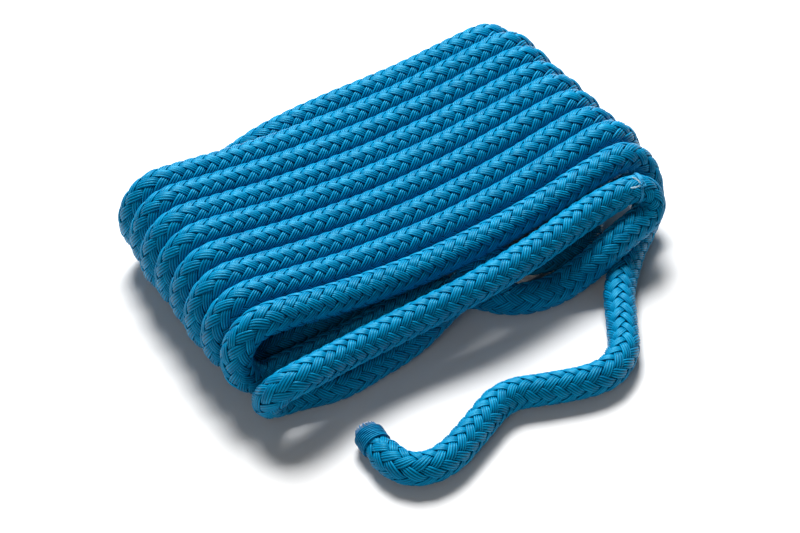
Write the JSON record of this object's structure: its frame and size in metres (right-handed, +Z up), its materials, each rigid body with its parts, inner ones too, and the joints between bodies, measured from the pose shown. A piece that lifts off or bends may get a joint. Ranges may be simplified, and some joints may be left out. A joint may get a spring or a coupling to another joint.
{
  "type": "braided rope hank",
  "caption": "Flat factory hank of braided rope: neat side-by-side turns, one slumped front turn with a tight tied fold, and a loose tail with a whipped end.",
  "frame": {"origin": "middle of the hank's flat underside, on the surface it rests on", "axes": "+Z up, +X along the runs towards the tied corner, +Y across the runs, away from the tail"},
  "size_m": [0.163, 0.1582, 0.0338],
  "materials": {
    "rope": "16-plait polyester braid, semi-gloss filament yarns",
    "core": "undyed braided core, cut and heat-set end",
    "whipping": "tight turns of waxed twine",
    "tie_thread": "thin bonded filament thread"
  },
  "bodies": {
    "root": {"rope_hank": "rope", "inner_end_cover": "rope", "front_turn_cover": "rope", "tail_cover": "rope", "inner_end_core": "core", "front_turn_core": "core", "tail_core": "core", "inner_end_whipping": "whipping", "tail_whipping": "whipping", "corner_tie": "tie_thread"}
  },
  "joints": []
}
